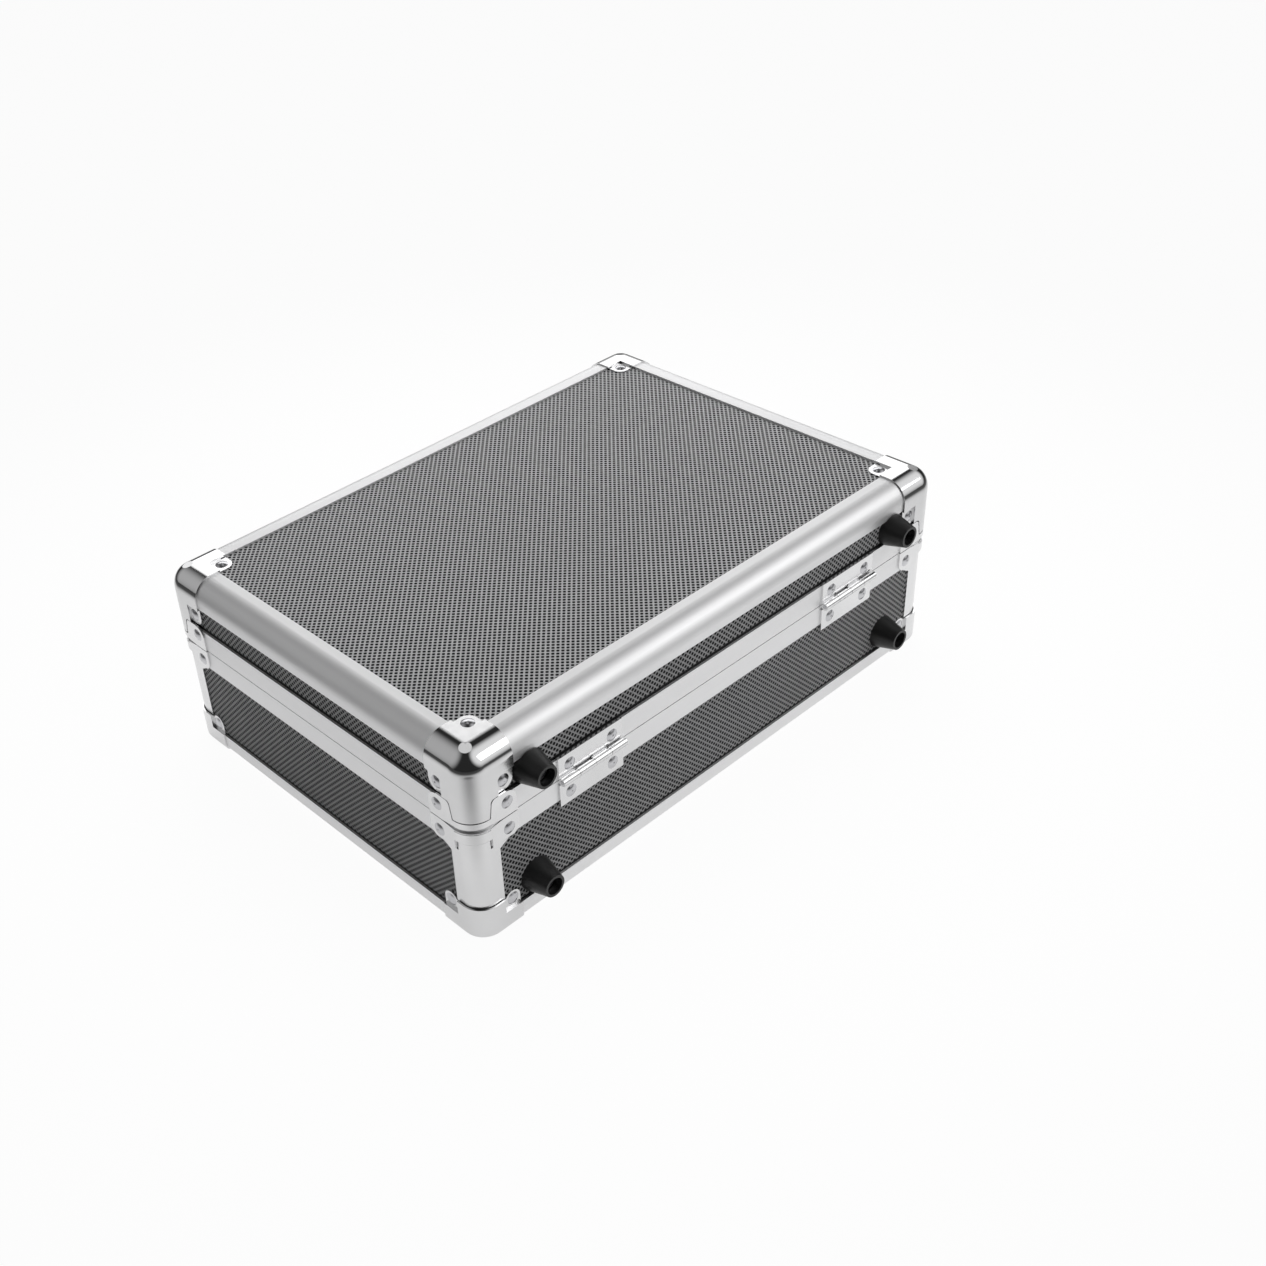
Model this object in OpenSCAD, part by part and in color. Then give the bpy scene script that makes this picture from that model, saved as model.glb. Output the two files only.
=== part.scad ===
// Hard tool case: textured panels in metal profiles, stamped corners, a hinged
// lid, two draw latches with key locks, a swinging handle and four rubber feet.
// Front is -Y and up is +Z. The origin is under the middle of the whole outline.

/* [Case] */
// Length over the corners
case_l = 320; // [300:1:360]
// Depth over the corners
case_d = 224; // [212:1:260]
// Height
case_h = 104; // [102:1:120]
// Height of the lid from the parting up
lid_h = 40; // [40:1:44]
// Gap between the two rims
part_gap = 0.4; // [0.3:0.1:0.5]
// Radius of the upright corners and of the lid's rounded edge
corner_r = 11; // [10.5:0.5:11.5]
// Radius of the base's lower edge
base_edge_r = 3; // [2.5:0.5:3.5]

/* [Sheet, profiles and panels] */
// Thickness of the stamped corner sheet
plate_t = 0.8; // [0.6:0.1:1]
// Wall of the drawn profiles
wall_t = 1.2; // [1:0.1:1.4]
// Thickness of the panels
panel_t = 3; // [2.5:0.5:4]
// Reach of the lid's edge profile over the top panel
lid_edge_w = 15.5; // [14:0.5:17]
// Drop of the lid's edge profile down the sides
lid_edge_h = 15; // [14:0.5:15]
// Reach of the base's edge profile under the floor
base_edge_w = 15; // [14:0.5:16]
// Height of the base's edge profile
base_edge_h = 9.5; // [9:0.5:10]
// Height of each rim band
rim_h = 11.3; // [11:0.1:12]
// Thickness of the tongue that rises into the lid
tongue_t = 1; // [0.8:0.1:1.2]
// Height of the tongue over the parting
tongue_h = 2.8; // [2:0.2:3]
// Thickness of the lining
lining_t = 3; // [2:0.5:4]

/* [Lid corners] */
// Length of the two arms from the corner
lid_arm_l = 26.5; // [26:0.5:28]
// Reach of the diagonal tab from the corner
tab_reach = 26; // [24:0.5:26]
// Radius of the tab's tip
tab_r = 5; // [4:0.5:6]
// Width of the skirt on each face
skirt_w = 17; // [16:0.5:18]
// Width of the round tongue on each face, where it leaves the skirt
nose_w = 12.2; // [12:0.1:12.5]
// Height of the tongue's tip over the parting
nose_rise = 4.8; // [4.5:0.1:5]
// Tilt of the small flat on the ball, out from the top
facet_tilt = 15; // [12:1:18]
// Depth of the small flat
facet_depth = 0.35; // [0.2:0.05:0.4]
// Radius of the riveted ears
lid_ear_r = 5.3; // [4.5:0.1:5.3]
// Distance of the ears' rivets from the corner
lid_ear_x = 20.9; // [20.5:0.1:21]

/* [Rim corners and posts] */
// Distance of the rim rivets from the corner
rim_rivet_x = 21.1; // [20.5:0.1:21.5]
// Height of the lid rim's rivets over the parting
lid_rivet_rise = 7.7; // [7.4:0.1:8]
// Depth of the base rim's rivets below the parting
base_rivet_drop = 6.9; // [6.5:0.1:7.5]
// Radius of the riveted wings
wing_r = 5.5; // [5:0.1:5.8]
// Height of the lid's rim corner
rim_corner_h = 13.3; // [13:0.1:13.5]
// Height of the rim corner under the tongue
rim_corner_low_h = 4; // [3.6:0.1:4]
// Width of a post on each face
post_w = 16; // [15:0.5:17]
// Slope of the wings' lower edge, degrees
wing_slope = 30; // [25:1:35]
// Length of the relief slits
slit_l = 6; // [5:0.5:7]
// Width of the relief slits
slit_w = 0.5; // [0.4:0.1:0.6]

/* [Base corners] */
// Width of the box part on each face
base_corner_w = 15.2; // [14.5:0.1:15.5]
// Height of the box part
base_corner_h = 18; // [17:0.5:19]
// Length of the two arms from the corner
base_arm_l = 25; // [24.8:0.1:27]
// Radius of the riveted ears
base_ear_r = 4.3; // [4:0.1:4.5]
// Distance of the ears' rivets from the corner
base_ear_x = 20.4; // [20:0.1:20.6]
// Height of the ears' rivets
base_ear_z = 15.2; // [15:0.1:15.5]

/* [Rivets] */
// Radius of a rivet's head
rivet_head_r = 3.2; // [3:0.1:3.3]
// Height of a rivet's head
rivet_head_h = 1; // [0.8:0.1:1.2]
// Radius of a rivet's shank
rivet_r = 1.6; // [1.4:0.1:1.8]

/* [Feet] */
// Distance of the feet from the case's ends
foot_in = 35.4; // [35.4:0.1:40]
// Height of the base's feet
base_foot_z = 19.3; // [19:0.1:30]
// Length of a foot from the panel
foot_l = 12.4; // [11:0.2:14]
// Radius of a foot at the panel
foot_r = 8.8; // [8.4:0.1:8.8]
// Radius of a foot at its tip
foot_tip_r = 5.6; // [5.4:0.1:6]
// Radius of the recess in the tip
foot_bore_r = 4.3; // [4.2:0.1:4.4]
// Depth of the recess in the tip
foot_bore_l = 6; // [5:0.5:7]
// Radius of the foot's screw
screw_r = 1.9; // [1.7:0.1:2]
// Radius of the screw's head
screw_head_r = 3.6; // [3.2:0.1:3.8]
// Height of the screw's head
screw_head_h = 1.8; // [1.5:0.1:2]

/* [Hinges] */
// Distance of the hinges' middles from the case's ends
hinge_in = 70.4; // [66:0.1:80]
// Width of a hinge
hinge_w = 39; // [36:1:42]
// Thickness of the leaves
leaf_t = 1; // [0.8:0.1:1]
// Drop of the lower leaf below the parting
lower_leaf_h = 14.6; // [14:0.1:15]
// Radius of the knuckles
knuckle_r = 2; // [1.8:0.1:2.1]
// Radius of the hinge pin
hinge_pin_r = 1; // [0.8:0.1:1]
// Distance of a leaf's rivets from its middle
hinge_rivet_x = 12.95; // [12:0.05:14]
// Height of the upper leaf's rivets over the parting
upper_rivet_rise = 6.5; // [6.3:0.1:7]
// Drop of the lower leaf's rivets below the parting
lower_rivet_drop = 9; // [8:0.1:9]

/* [Latches] */
// Gap between a latch and the handle's bracket
latch_gap = 9; // [6:0.5:12]
// Width of a latch's base plate
latch_w = 38; // [38:0.5:42]
// Thickness of the latch plates
latch_plate_t = 1; // [0.8:0.1:1]
// Drop of the base plate below the parting
latch_drop = 34; // [33:0.5:36]
// Drop of the lever's pivot below the parting
pivot_drop = 7; // [6.8:0.1:7.2]
// Distance of the lever's pivot in front of the case
pivot_out = 4; // [4:0.1:4.4]
// Length of the lever below its pivot
lever_l = 25; // [24:0.5:26]
// Width of the lever
lever_w = 20; // [19:0.5:20]
// Thickness of the lever's sheet
lever_t = 1.2; // [1:0.1:1.2]
// Throw from the lever's pivot to the hook's pin
hook_throw = 8; // [7.5:0.1:8]
// Width of the hook
hook_w = 14; // [12:0.5:14]
// Radius of the latch pins
latch_pin_r = 1; // [0.9:0.1:1]
// Angle of the lever as modelled, undone, degrees
lever_rest = 15; // [15:0.5:16]
// Width of the keeper
keeper_w = 29; // [29:0.5:32]
// Radius of the lock's plug
plug_r = 4; // [3.6:0.1:4]
// Distance of the plug from the lever's pivot
plug_drop = 18; // [18:0.1:18.4]
// Half the length of the lock's cam
cam_l = 4.6; // [4.2:0.1:4.6]

/* [Handle] */
// Distance of the handle's ends from the case's ends
handle_in = 100; // [96:1:110]
// Width of the handle's arms
arm_w = 8; // [7:0.5:8]
// Height of the grip
grip_h = 16; // [14:0.5:16]
// Thickness of the grip
grip_t = 15; // [13:0.5:16]
// Gap between the case's front and the grip
grip_gap = 0.6; // [0.6:0.1:2]
// Drop of the handle's pivots below the parting
handle_drop = 20; // [20:0.1:21]
// Distance from the pivots down to the grip
arm_l = 20; // [19:0.5:20]
// Radius of the handle's pins
handle_pin_r = 1.6; // [1.4:0.1:1.8]

/* [Hidden] */
$fn = 48;
overrun = 1;

// gaps
fit_gap = 0.1;
drill_gap = 0.1;
run_fit = 0.05;
soft_gap = 0.3;
nose_gap = 0.5;
seam_gap = 0.3;
edge_lap = 0.2;

// the case's planes and the layers of its wall, measured in from them
half_l = case_l / 2;
half_d = case_d / 2;
skin = plate_t + wall_t;
inner = skin + panel_t;
leg_in = inner + wall_t;
tongue_gap = 0.6;
tongue_in = leg_in + tongue_gap;
lining_in = leg_in + soft_gap;
panel_end = corner_r + edge_lap;
seat_in = skin - plate_t;

// heights
part_z = case_h - lid_h;
lid_rim_z = part_z + part_gap / 2;
lid_rim_top = lid_rim_z + rim_h;
base_rim_top = part_z - part_gap / 2;
base_rim_z = base_rim_top - rim_h;
nose_z = part_z + nose_rise;
rim_corner_low_z = lid_rim_z + rim_corner_low_h;
rim_corner_z = lid_rim_z + rim_corner_h;
skirt_h = case_h - rim_corner_z - seam_gap;
lid_ear_drop = skirt_h - lid_ear_r;
lid_foot_z = (lid_rim_top + case_h - lid_edge_h) / 2;

// places along the case
foot_x = half_l - foot_in;
hinge_x = half_l - hinge_in;
handle_l = case_l - 2 * handle_in;

// how far the whole outline stands out behind and in front
back_reach = foot_l - skin;
front_reach = grip_gap + grip_t;
body_y = (front_reach - back_reach) / 2;

// rounded shapes
rim_round_gap = 0.6;
rim_r = corner_r - plate_t + rim_round_gap;
nose_fillet = 2;
facet_cut_r = 4;
rim_corner_fillet = 2.2;
lining_r = corner_r - leg_in;
lining_hollow_r = 2;

// joggles
tab_in = lid_edge_w + fit_gap;
lid_ear_in = skirt_w - plate_t;
lid_ear_top = lid_edge_h + fit_gap;
base_ear_in = base_corner_w - plate_t;
base_ear_low = base_edge_h + fit_gap;
base_ear_side_h = 7.8;
post_step_l = 1.5;
post_step_drop = 7;
post_step_z = part_z - post_step_drop;
wing_step_z = base_rim_z - edge_lap;
post_low_z = base_edge_h + plate_t;
notch_step = 0.6;
post_groove_drop = 0.4;
post_groove_h = 0.5;
post_groove_t = 0.4;

// where the stamped corners stand back from the parting
relief_h = 0.8;
relief_x = 18;

// lower ends of latches and handle, measured up from the underside
pivot_z = part_z - pivot_drop;
latch_low_z = part_z - latch_drop;
handle_z = part_z - handle_drop;
grip_z = handle_z - arm_l - grip_h;
grip_top_z = grip_z + grip_h;

// hinge
hinge_axis_gap = 0.4;
hinge_axis_y = half_d - plate_t + hinge_axis_gap + knuckle_r;
leaf_clear = 2.5;
lip_t = 0.8;
lip_in = 1.7;
knuckle_gap = 0.1;
relief_r = 0.8;

// latch
plate_in = plate_t;
latch_rivet_x = 15.3;
latch_top_drop = 2;
latch_rivet_top_drop = 6.5;
latch_rivet_low_drop = 28;
ear_gap = 0.4;
ear_t = 1.2;
pivot_r = 2.2;
face_start = 11;
lip_l = 2.4;
lip_rise = 2;
hook_t = 1;
hook_eye_r = 1.8;
hook_back = 0.8;
claw_t = 1.2;
claw_gap = 0.3;
claw_reach = 3.4;
keeper_rise = 2;
keeper_h = 9.3;
keeper_z = part_z + keeper_rise;
keeper_top = keeper_z + keeper_h;
keeper_lip_w = 15;
keeper_lip_t = 1.2;
keeper_lip_reach = 2.2;
keeper_rivet_x = 10.9;
keeper_rivet_rise = 6.7;
hook_l = keeper_top + claw_gap + claw_t - pivot_z + hook_throw;
flange_r = 4.8;
flange_t = 0.6;
plug_proud = 0.2;
plug_shaft_r = 2;
plug_shaft_l = 2.8;
cam_w = 3;
cam_t = 1.2;
key_w = 1;
key_l = 4.4;
key_depth = 1;
keep_in = 2.8;
keep_out = 6.2;
keep_wall = 1;
keep_h = 8;
keep_reach = 3;

// handle
handle_out = 7;
eye_r = 5;
arm_t = 7;
grip_r = 6;
handle_round = 9;
cheek_t = 1.6;
cheek_gap = 0.8;
cheek_r = 4;
bracket_w = 16;
bracket_h = 22;
bracket_drop = 12;
bracket_rivet_in = 3.7;
latch_x = (handle_l - arm_w + bracket_w + latch_w) / 2 + latch_gap;

// Sides are counted from the back: 0 back, 1 left, 2 front, 3 right
function reach(side) = side % 2 == 0 ? half_d : half_l;
function half_run(side) = side % 2 == 0 ? half_l : half_d;
corners = [[-1, -1], [1, -1], [-1, 1], [1, 1]];

// Places

module at_body() {
    translate([0, body_y, 0]) children();
}

module flip_x(on) {
    if (on) mirror([1, 0, 0]) children();
    else children();
}

module flip_y(on) {
    if (on) mirror([0, 1, 0]) children();
    else children();
}

// A corner of the case, where x and y run inward from the two faces
module at_corner(sx, sy) {
    translate([sx * half_l, sy * half_d, 0]) flip_x(sx > 0) flip_y(sy > 0) children();
}

// The same under the top plane, where z runs down
module at_top_corner(sx, sy) {
    at_corner(sx, sy) translate([0, 0, case_h]) mirror([0, 0, 1]) children();
}

// Both faces that meet in a corner
module both_faces() {
    children();
    mirror([1, -1, 0]) children();
}

// The front face, where y runs inward, and the back face, the same way
module at_front() {
    translate([0, -half_d, 0]) children();
}

module at_back() {
    translate([0, half_d, 0]) mirror([0, 1, 0]) children();
}

module left_and_right(x) {
    for (s = [-1, 1]) translate([s * x, 0, 0]) children();
}

// A plate on the face y = 0: outline in x and z, from the given depth inward
module on_face(depth, t) {
    translate([0, depth + t, 0]) rotate([90, 0, 0]) linear_extrude(t) children();
}

// An outline of outward reach and height, drawn across the middle of a face
module across(w) {
    mirror([0, 1, 0]) rotate([90, 0, 90]) linear_extrude(w, center = true) children();
}

// A length of profile on one side: section in inward reach and height
module run(side, length) {
    rotate([0, 0, side * 90]) translate([0, reach(side), 0])
        mirror([0, 1, 0]) rotate([90, 0, 90]) linear_extrude(length, center = true) children();
}

// Shared outlines

module round_rect(l, d, r) {
    square([l - 2 * r, d], center = true);
    square([l, d - 2 * r], center = true);
    for (x = [-1, 1], y = [-1, 1]) translate([x * (l / 2 - r), y * (d / 2 - r)]) circle(r);
}

module box_at(x0, y0, x1, y1) {
    translate([x0, y0]) square([x1 - x0, y1 - y0]);
}

module inset_outline(inset, r) {
    round_rect(case_l - 2 * inset, case_d - 2 * inset, r);
}

// The quarter ring that rounds an edge between two faces of sheet
module edge_ring(r, outer, thick) {
    difference() {
        box_at(outer, outer, r, r);
        difference() {
            box_at(0, 0, r, r);
            translate([r, r]) circle(r - outer);
        }
        translate([r, r]) circle(r - outer - thick);
    }
}

// A stamped edge: round, then flat over the top and down the side
module sheet_edge(r, outer, thick, top, side) {
    edge_ring(r, outer, thick);
    box_at(r, outer, top, outer + thick);
    box_at(outer, r, outer + thick, side);
}

// The same sheet turned round the case's upright corner
module turned(r) {
    translate([corner_r, corner_r, 0]) rotate([0, 0, 180]) rotate_extrude(angle = 90)
        translate([corner_r, 0]) mirror([1, 0])
            intersection() {
                children();
                box_at(0, 0, r, case_h);
            }
}

// The same sheet run along the face from the corner's end to a reach
module drawn(from, to) {
    translate([from, 0, 0]) mirror([0, 1, 0]) rotate([90, 0, 90])
        mirror([1, 0, 0]) linear_extrude(to - from) children();
}

// Rivets

module rivet(length) {
    cap_r = (pow(rivet_head_r, 2) + pow(rivet_head_h, 2)) / (2 * rivet_head_h);
    rotate_extrude() {
        intersection() {
            translate([0, rivet_head_h - cap_r]) circle(cap_r);
            square([rivet_head_r, rivet_head_h]);
        }
        translate([0, -length]) square([rivet_r, length + rivet_head_h / 2]);
    }
}

// A rivet or its hole in the face y = 0, its head seated at the given depth
module face_rivet(x, z, seat, drill) {
    if (drill) translate([x, -overrun, z]) rotate([-90, 0, 0])
        cylinder(r = rivet_r + drill_gap, h = inner + 2 * overrun);
    else translate([x, seat, z]) rotate([90, 0, 0]) rivet(inner - seat);
}

module base_rivet_set(drill) {
    for (c = corners) at_corner(c[0], c[1]) both_faces() {
        face_rivet(rim_rivet_x, part_z - base_rivet_drop, 0, drill);
        face_rivet(base_ear_x, base_ear_z, seat_in, drill);
    }
    at_back() left_and_right(hinge_x) left_and_right(hinge_rivet_x)
        face_rivet(0, part_z - lower_rivet_drop, plate_in - leaf_t, drill);
    at_front() left_and_right(latch_x) left_and_right(latch_rivet_x) {
        face_rivet(0, part_z - latch_rivet_top_drop, plate_in - latch_plate_t, drill);
        face_rivet(0, part_z - latch_rivet_low_drop, skin - latch_plate_t, drill);
    }
    at_front() left_and_right((handle_l - arm_w) / 2)
        for (z = [bracket_rivet_in, bracket_h - bracket_rivet_in])
            face_rivet(0, part_z - bracket_drop - z, skin - latch_plate_t, drill);
}

module lid_rivet_set(drill) {
    for (c = corners) at_corner(c[0], c[1]) both_faces() {
        face_rivet(rim_rivet_x, part_z + lid_rivet_rise, 0, drill);
        face_rivet(lid_ear_x, case_h - lid_ear_drop, seat_in, drill);
    }
    for (c = corners) at_top_corner(c[0], c[1])
        translate([tab_reach - tab_r, tab_reach - tab_r, 0])
            if (drill) translate([0, 0, -overrun])
                cylinder(r = rivet_r + drill_gap, h = inner + 2 * overrun);
            else translate([0, 0, seat_in]) mirror([0, 0, 1]) rivet(inner - seat_in);
    at_back() left_and_right(hinge_x) left_and_right(hinge_rivet_x)
        face_rivet(0, part_z + upper_rivet_rise, plate_in - leaf_t, drill);
    at_front() left_and_right(latch_x) left_and_right(keeper_rivet_x)
        face_rivet(0, part_z + keeper_rivet_rise, plate_in - latch_plate_t, drill);
}

module base_rivets() {
    color("gainsboro") at_body() base_rivet_set(false);
}

module lid_rivets() {
    color("gainsboro") at_body() lid_rivet_set(false);
}

// Feet

module foot_axis(z) {
    at_back() left_and_right(foot_x) translate([0, skin, z]) rotate([90, 0, 0]) children();
}

module screw_holes(z) {
    foot_axis(z) translate([0, 0, -panel_t - overrun])
        cylinder(r = screw_r + drill_gap, h = panel_t + foot_l + overrun);
}

module foot_shape() {
    rotate_extrude() polygon([
        [screw_r + drill_gap, 0], [foot_r, 0], [foot_tip_r, foot_l], [foot_bore_r, foot_l],
        [foot_bore_r, foot_l - foot_bore_l], [screw_r + drill_gap, foot_l - foot_bore_l]
    ]);
}

module one_foot(s, z) {
    translate([s * foot_x, half_d - skin, z]) rotate([-90, 0, 0]) foot_shape();
}

module base_foot(s) {
    color("black") at_body() one_foot(s, base_foot_z);
}

// The lid's foot is cut away where the edge profile and the rim band pass it
module lid_foot(s) {
    color("black") at_body() difference() {
        one_foot(s, lid_foot_z);
        for (z = [case_h - lid_edge_h - soft_gap, lid_rim_top + soft_gap - foot_r])
            translate([s * foot_x - foot_r, half_d - skin - overrun, z])
                cube([2 * foot_r, wall_t + soft_gap + overrun, foot_r]);
    }
}

module screws(z) {
    foot_axis(z) {
        translate([0, 0, -panel_t]) cylinder(r = screw_r, h = panel_t + foot_l - foot_bore_l);
        translate([0, 0, foot_l - foot_bore_l]) difference() {
            cylinder(r = screw_head_r, h = screw_head_h);
            translate([0, 0, screw_head_h]) for (a = [0, 90]) rotate([0, 0, a])
                cube([2 * screw_r, screw_head_h / 2, screw_head_h], center = true);
        }
    }
}

module base_foot_screws() {
    color("silver") at_body() screws(base_foot_z);
}

module lid_foot_screws() {
    color("silver") at_body() screws(lid_foot_z);
}

// Panels

module base_holes() {
    base_rivet_set(true);
    screw_holes(base_foot_z);
}

module lid_holes() {
    lid_rivet_set(true);
    screw_holes(lid_foot_z);
}

module wall_panel(side, z0, z1) {
    half = half_run(side) - panel_end;
    rotate([0, 0, side * 90]) translate([-half, reach(side) - inner, z0])
        cube([2 * half, panel_t, z1 - z0]);
}

module base_floor() {
    inset = leg_in + fit_gap;
    color("dimgray") at_body() translate([-half_l + inset, -half_d + inset, skin])
        cube([case_l - 2 * inset, case_d - 2 * inset, panel_t]);
}

module base_panel(side) {
    color("dimgray") at_body() difference() {
        wall_panel(side, leg_in + fit_gap, base_rim_top - wall_t - fit_gap);
        base_holes();
    }
}

module lid_top() {
    color("dimgray") at_body() difference() {
        translate([-half_l + panel_end, -half_d + panel_end, case_h - inner])
            cube([case_l - 2 * panel_end, case_d - 2 * panel_end, panel_t]);
        lid_holes();
    }
}

module lid_panel(side) {
    color("dimgray") at_body() difference() {
        wall_panel(side, lid_rim_z + wall_t + fit_gap, case_h - panel_end);
        lid_holes();
    }
}

// Edge profiles

module lid_edge_section() {
    web = corner_r - (corner_r - skin) * cos(45) - wall_t / 4;
    sheet_edge(corner_r, plate_t, wall_t, lid_edge_w, lid_edge_h);
    box_at(inner, inner, lid_edge_w, leg_in);
    box_at(inner, inner, leg_in, lid_edge_h);
    box_at(web, web, leg_in, leg_in);
}

module base_edge_section() {
    sheet_edge(base_edge_r, plate_t, wall_t, base_edge_w, base_edge_h);
    box_at(inner, inner, base_edge_w, leg_in);
    box_at(inner, inner, leg_in, base_edge_h);
    box_at(inner - wall_t, skin - wall_t / 2, inner, leg_in);
    box_at(skin - wall_t / 2, inner - wall_t, leg_in, inner);
}

module lid_edge(side) {
    color("lightgray") at_body() difference() {
        translate([0, 0, case_h]) mirror([0, 0, 1])
            run(side, 2 * (half_run(side) - lid_edge_w - fit_gap)) lid_edge_section();
        lid_holes();
    }
}

module base_edge() {
    color("lightgray") at_body()
        for (side = [0:3]) run(side, 2 * (half_run(side) - base_edge_w - fit_gap))
            base_edge_section();
}

// Rims

// Keeps one side of a rim, cut off at half a right angle at both ends
module mitred(side) {
    end = half_run(side) - fit_gap;
    depth = leg_in + tongue_in;
    intersection() {
        children();
        rotate([0, 0, side * 90]) translate([0, reach(side), 0]) mirror([0, 1, 0])
            linear_extrude(case_h)
                polygon([[-end, 0], [end, 0], [end - depth, depth], [depth - end, depth]]);
    }
}

module rims(z0, z1) {
    for (side = [0:3]) mitred(side) intersection() {
        run(side, 2 * half_run(side)) children();
        translate([0, 0, z0]) linear_extrude(z1 - z0) inset_outline(plate_t, rim_r);
    }
}

module base_rim_section() {
    box_at(plate_t, base_rim_z, skin, base_rim_top);
    box_at(inner, base_rim_z, leg_in, base_rim_top);
    box_at(plate_t, base_rim_top - wall_t, tongue_in + tongue_t, base_rim_top);
    box_at(tongue_in, base_rim_top - wall_t, tongue_in + tongue_t, part_z + tongue_h);
}

module lid_rim_section() {
    box_at(plate_t, lid_rim_z, skin, lid_rim_top);
    box_at(inner, lid_rim_z, leg_in, lid_rim_top);
    box_at(plate_t, lid_rim_z, leg_in, lid_rim_z + wall_t);
}

// The base's rim is notched in each corner for the post
module base_rim() {
    color("lightgray") at_body() difference() {
        rims(base_rim_z, part_z + tongue_h) base_rim_section();
        base_holes();
        for (c = corners) at_corner(c[0], c[1]) translate([-overrun, -overrun, 0])
            cube([panel_end + overrun, panel_end + overrun, post_step_z + notch_step]);
    }
}

module lid_rim() {
    color("lightgray") at_body() difference() {
        rims(lid_rim_z, lid_rim_top) lid_rim_section();
        lid_holes();
    }
}

// Lid corners

module lid_corner_sheet(side) {
    sheet_edge(corner_r, 0, plate_t, tab_in + plate_t, side);
}

module lid_skirt_outline() {
    box_at(corner_r, corner_r, skirt_w, skirt_h);
    polygon([
        [corner_r, corner_r], [nose_w, corner_r], [nose_w, skirt_h + nose_fillet],
        [corner_r, case_h - nose_z]
    ]);
    difference() {
        box_at(nose_w, skirt_h, nose_w + nose_fillet, skirt_h + nose_fillet);
        translate([nose_w + nose_fillet, skirt_h + nose_fillet]) circle(nose_fillet);
    }
}

module lid_ear_outline() {
    box_at(lid_ear_in, lid_ear_top, lid_ear_x, lid_ear_drop + lid_ear_r);
    box_at(lid_ear_in, lid_ear_top, lid_ear_x + lid_ear_r, lid_ear_drop);
    translate([lid_ear_x, lid_ear_drop]) circle(lid_ear_r);
}

module tab_outline() {
    box_at(tab_in, tab_in, tab_reach - tab_r, tab_reach);
    box_at(tab_in, tab_in, tab_reach, tab_reach - tab_r);
    translate([tab_reach - tab_r, tab_reach - tab_r]) circle(tab_r);
}

// What the small flat takes off the ball
module facet_cut() {
    translate([corner_r, corner_r, corner_r]) rotate([0, facet_tilt, 45])
        translate([0, 0, facet_depth - corner_r - overrun])
            cylinder(r = facet_cut_r, h = overrun);
}

module lid_corner(sx, sy) {
    color("silver") at_body() difference() {
        at_top_corner(sx, sy) {
            turned(corner_r) lid_corner_sheet(case_h - nose_z);
            translate([0, 0, seat_in]) linear_extrude(plate_t) tab_outline();
            both_faces() {
                drawn(corner_r, lid_arm_l) lid_corner_sheet(lid_ear_top + plate_t);
                on_face(0, plate_t) lid_skirt_outline();
                on_face(seat_in, plate_t) lid_ear_outline();
                on_face(0, skin) box_at(lid_ear_in, lid_ear_top, skirt_w, skirt_h);
                on_face(0, skin) box_at(lid_ear_in, lid_ear_top,
                    lid_ear_x + lid_ear_r, lid_ear_top + plate_t);
                translate([tab_in, tab_in, 0])
                    cube([tab_reach - tab_r / 2 - tab_in, plate_t, skin]);
            }
        }
        at_top_corner(sx, sy) facet_cut();
        lid_rivet_set(true);
    }
}

// Lid rim corners

module rim_corner_outline() {
    flat = nose_w + nose_gap;
    end = rim_rivet_x + wing_r;
    low = lid_rim_z;
    rivet_z = part_z + lid_rivet_rise;
    polygon([
        [corner_r, low + relief_h], [relief_x, low], [end, low],
        [end, rim_corner_low_z], [corner_r, rim_corner_low_z]
    ]);
    box_at(flat + rim_corner_fillet, low + relief_h, rim_rivet_x, rim_corner_z);
    polygon([
        [corner_r + nose_gap, rim_corner_low_z], [flat, rim_corner_z - rim_corner_fillet],
        [rim_rivet_x, rim_corner_z - rim_corner_fillet], [rim_rivet_x, rim_corner_low_z]
    ]);
    translate([flat + rim_corner_fillet, rim_corner_z - rim_corner_fillet])
        circle(rim_corner_fillet);
    box_at(rim_rivet_x, low, end, rivet_z);
    translate([rim_rivet_x, rivet_z]) circle(wing_r);
}

module lid_rim_corners() {
    color("silver") at_body() difference() {
        for (c = corners) at_corner(c[0], c[1]) {
            turned(corner_r) box_at(0, lid_rim_z + relief_h, plate_t, rim_corner_low_z);
            both_faces() on_face(0, plate_t) rim_corner_outline();
        }
        lid_rivet_set(true);
    }
}

// Posts

// The groove under a post's rounded top edge
module post_groove(top_z) {
    low = top_z - post_groove_drop - post_groove_h;
    box_at(-overrun, low, post_groove_t, low + post_groove_h);
}

// Sheet that lies on the rim and steps back to the panel below it
module post_section(step_z, top_z) {
    polygon([
        [0, top_z], [plate_t, top_z], [plate_t, step_z],
        [skin, step_z - post_step_l], [skin, post_low_z], [seat_in, post_low_z],
        [seat_in, step_z - post_step_l], [0, step_z]
    ]);
}

module post_outline() {
    rivet_z = part_z - base_rivet_drop;
    tangent_x = rim_rivet_x + wing_r * sin(wing_slope);
    tangent_z = rivet_z - wing_r * cos(wing_slope);
    foot_z = tangent_z - (tangent_x - post_w) * tan(wing_slope);
    polygon([
        [corner_r, base_rim_top - relief_h], [relief_x, base_rim_top],
        [rim_rivet_x + wing_r, base_rim_top], [rim_rivet_x + wing_r, rivet_z],
        [tangent_x, tangent_z], [post_w, foot_z], [corner_r, foot_z]
    ]);
    translate([rim_rivet_x, rivet_z]) circle(wing_r);
    box_at(corner_r, base_corner_h + fit_gap, post_w, foot_z);
    box_at(corner_r, post_low_z, base_ear_in - fit_gap, foot_z);
}

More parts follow.
